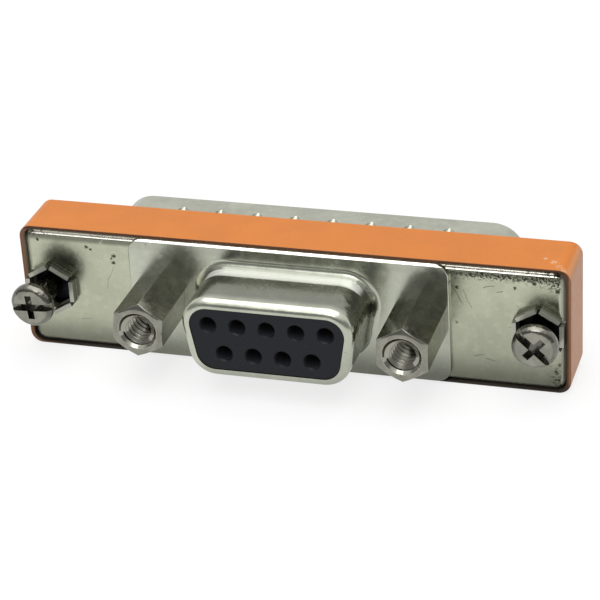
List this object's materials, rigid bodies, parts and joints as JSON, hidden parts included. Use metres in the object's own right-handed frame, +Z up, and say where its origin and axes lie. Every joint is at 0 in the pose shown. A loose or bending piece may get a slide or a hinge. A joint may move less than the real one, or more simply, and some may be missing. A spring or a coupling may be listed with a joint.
{
  "type": "d-sub adapter",
  "caption": "Short D-sub adapter: a small socket with hex standoffs in front, a wider pin plug behind, a plastic band between them and captive lock screws at the ends.",
  "frame": {"origin": "centre of the band's flat underside", "axes": "+X along the length, towards the right when the socket is seen from the front; -Y out of the socket, +Y out of the plug; +Z up, towards the wide side of both D shapes"},
  "size_m": [0.0528, 0.0188, 0.0126],
  "materials": {
    "band": "semi-matte orange plastic",
    "plate": "satin plated steel, slightly yellow",
    "shell": "satin plated steel, drawn",
    "insulator": "blue-black moulded plastic",
    "contact": "brass with a thin gold flash",
    "board": "green circuit board",
    "nickel": "bright nickel plating on turned steel",
    "washer": "black nylon"
  },
  "bodies": {
    "adapter": {"band": "band", "front_plate": "plate", "socket_shell": "shell", "socket_insulator_front": "insulator", "socket_insulator_back": "insulator", "socket_contact_1": "contact", "socket_contact_2": "contact", "socket_contact_3": "contact", "socket_contact_4": "contact", "socket_contact_5": "contact", "socket_contact_6": "contact", "socket_contact_7": "contact", "socket_contact_8": "contact", "socket_contact_9": "contact", "circuit_board": "board", "pin_shell": "shell", "pin_insulator_outer": "insulator", "pin_insulator_inner": "insulator", "pin_1": "contact", "pin_2": "contact", "pin_3": "contact", "pin_4": "contact", "pin_5": "contact", "pin_6": "contact", "pin_7": "contact", "pin_8": "contact", "pin_9": "contact", "pin_10": "contact", "pin_11": "contact", "pin_12": "contact", "pin_13": "contact", "pin_14": "contact", "pin_15": "contact", "pin_16": "contact", "pin_17": "contact", "pin_18": "contact", "pin_19": "contact", "pin_20": "contact", "pin_21": "contact", "pin_22": "contact", "pin_23": "contact", "pin_24": "contact", "pin_25": "contact", "jack_standoff_left": "nickel", "jack_standoff_right": "nickel", "jack_nut_left": "nickel", "jack_nut_right": "nickel"},
    "washer_left": {"captive_washer_left": "washer"},
    "screw_left": {"lock_screw_left": "nickel"},
    "washer_right": {"captive_washer_right": "washer"},
    "screw_right": {"lock_screw_right": "nickel"}
  },
  "joints": [
    {"name": "lock_slide_left", "type": "slide", "parent": "adapter", "child": "washer_left", "axis": [-0.061, -0.9981, 0], "range_m": [-0.0023, 0.00065]},
    {"name": "lock_turn_left", "type": "hinge", "parent": "washer_left", "child": "screw_left", "pos_m": [-0.02352, 0.00243, 0.00628], "axis": [-0.061, -0.9981, 0], "continuous": true},
    {"name": "lock_slide_right", "type": "slide", "parent": "adapter", "child": "washer_right", "axis": [0.0209, -0.9998, 0], "range_m": [-0.0014, 0.00177]},
    {"name": "lock_turn_right", "type": "hinge", "parent": "washer_right", "child": "screw_right", "pos_m": [0.02352, 0.00243, 0.00628], "axis": [0.0209, -0.9998, 0], "continuous": true}
  ]
}
